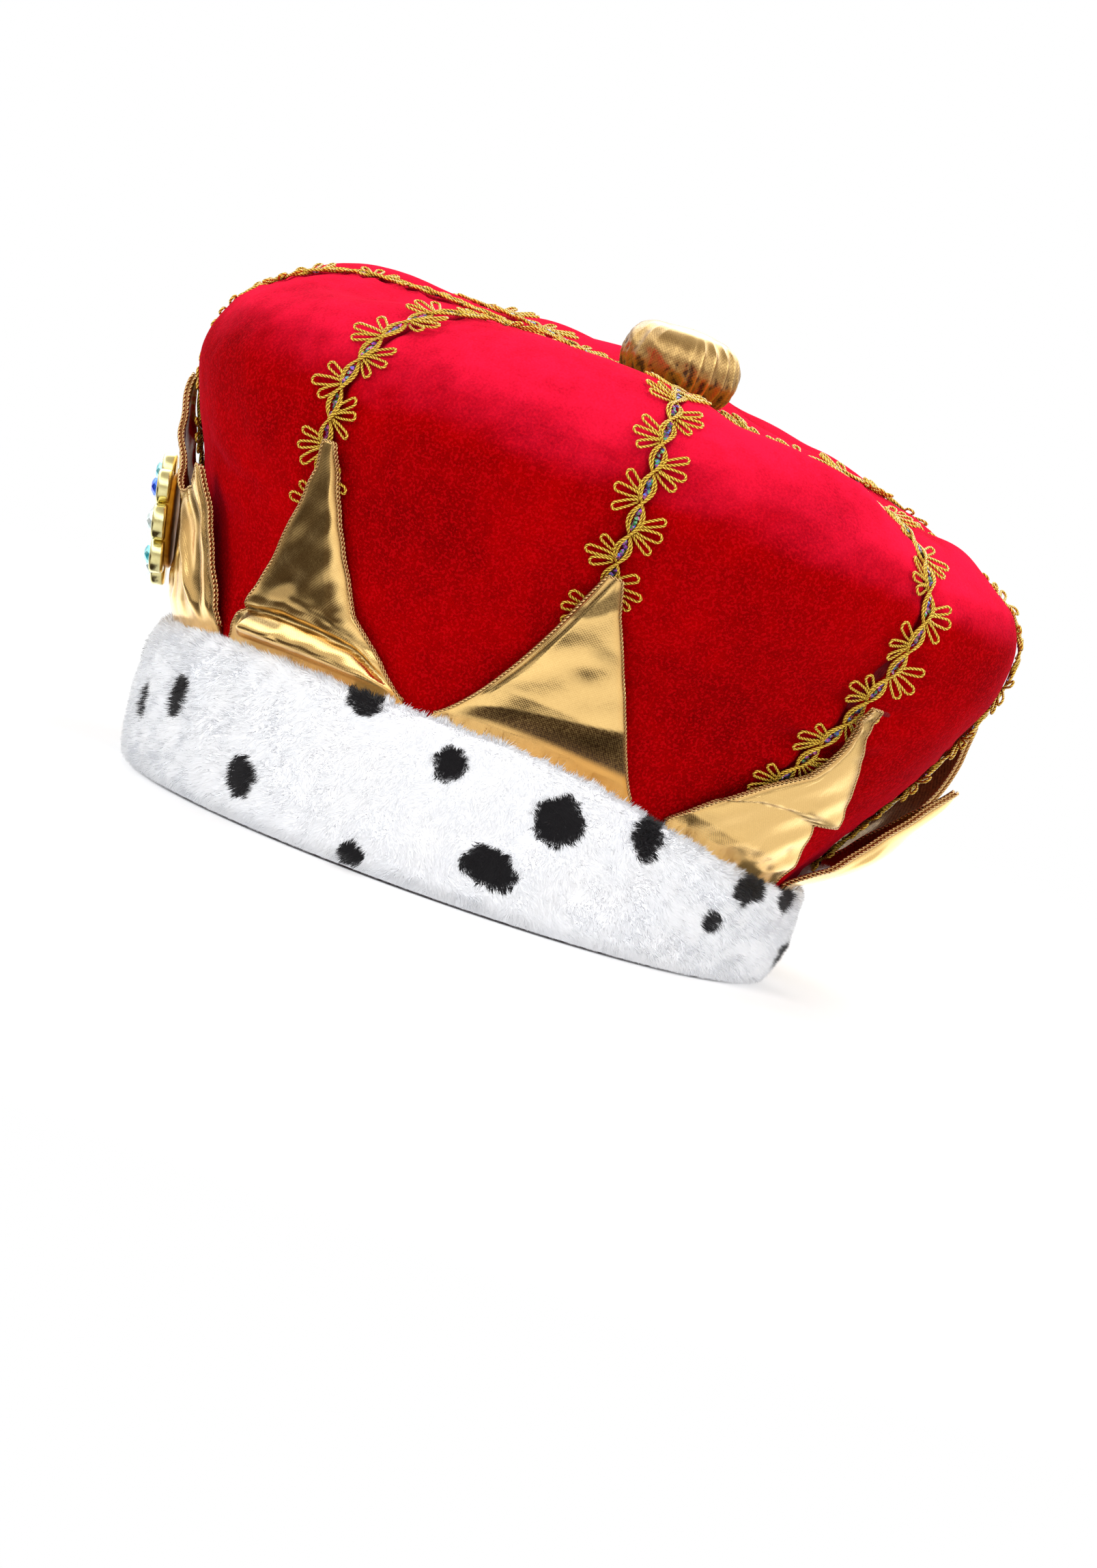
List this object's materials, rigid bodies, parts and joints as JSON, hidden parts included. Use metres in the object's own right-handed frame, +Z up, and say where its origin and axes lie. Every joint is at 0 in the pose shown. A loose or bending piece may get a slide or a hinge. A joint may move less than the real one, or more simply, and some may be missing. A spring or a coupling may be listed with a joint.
{
  "type": "costume crown",
  "caption": "Soft costume crown: a puffed velvet cap with upright gold cloth points, gold braid on its seams, a spotted plush band, a stuffed gold knob and a flower brooch with cut stones.",
  "frame": {"origin": "middle of the head opening, on the plane that the plush band rests on", "axes": "+Z up, the front with the brooch faces -Y, the wearer's left is +X"},
  "size_m": [0.241, 0.2871, 0.1924],
  "materials": {
    "red_velvet": "short cut pile, foam backed",
    "white_fur": "short plush with black spots",
    "gold_lame": "metallic woven cloth, topstitched",
    "gold_braid": "metallic cord loops with sequins",
    "brooch_gold": "gold plated moulding",
    "blue_stone": "faceted, polished",
    "aqua_stone": "faceted, polished",
    "clear_stone": "faceted, polished"
  },
  "bodies": {
    "root": {"velvet_cap": "red_velvet", "fur_band": "white_fur", "knob": "gold_lame", "front_point": "gold_lame", "point_left_1": "gold_lame", "point_left_2": "gold_lame", "point_left_3": "gold_lame", "point_back": "gold_lame", "point_right_1": "gold_lame", "point_right_2": "gold_lame", "point_right_3": "gold_lame", "braid_front": "gold_braid", "braid_left_1": "gold_braid", "braid_left_2": "gold_braid", "braid_left_3": "gold_braid", "braid_back": "gold_braid", "braid_right_1": "gold_braid", "braid_right_2": "gold_braid", "braid_right_3": "gold_braid", "brooch_setting": "brooch_gold", "centre_stone": "clear_stone", "petal_stone_1": "aqua_stone", "petal_stone_2": "clear_stone", "petal_stone_3": "blue_stone", "petal_stone_4": "aqua_stone", "petal_stone_5": "clear_stone", "petal_stone_6": "blue_stone", "petal_stone_7": "aqua_stone", "petal_stone_8": "clear_stone"}
  },
  "joints": []
}
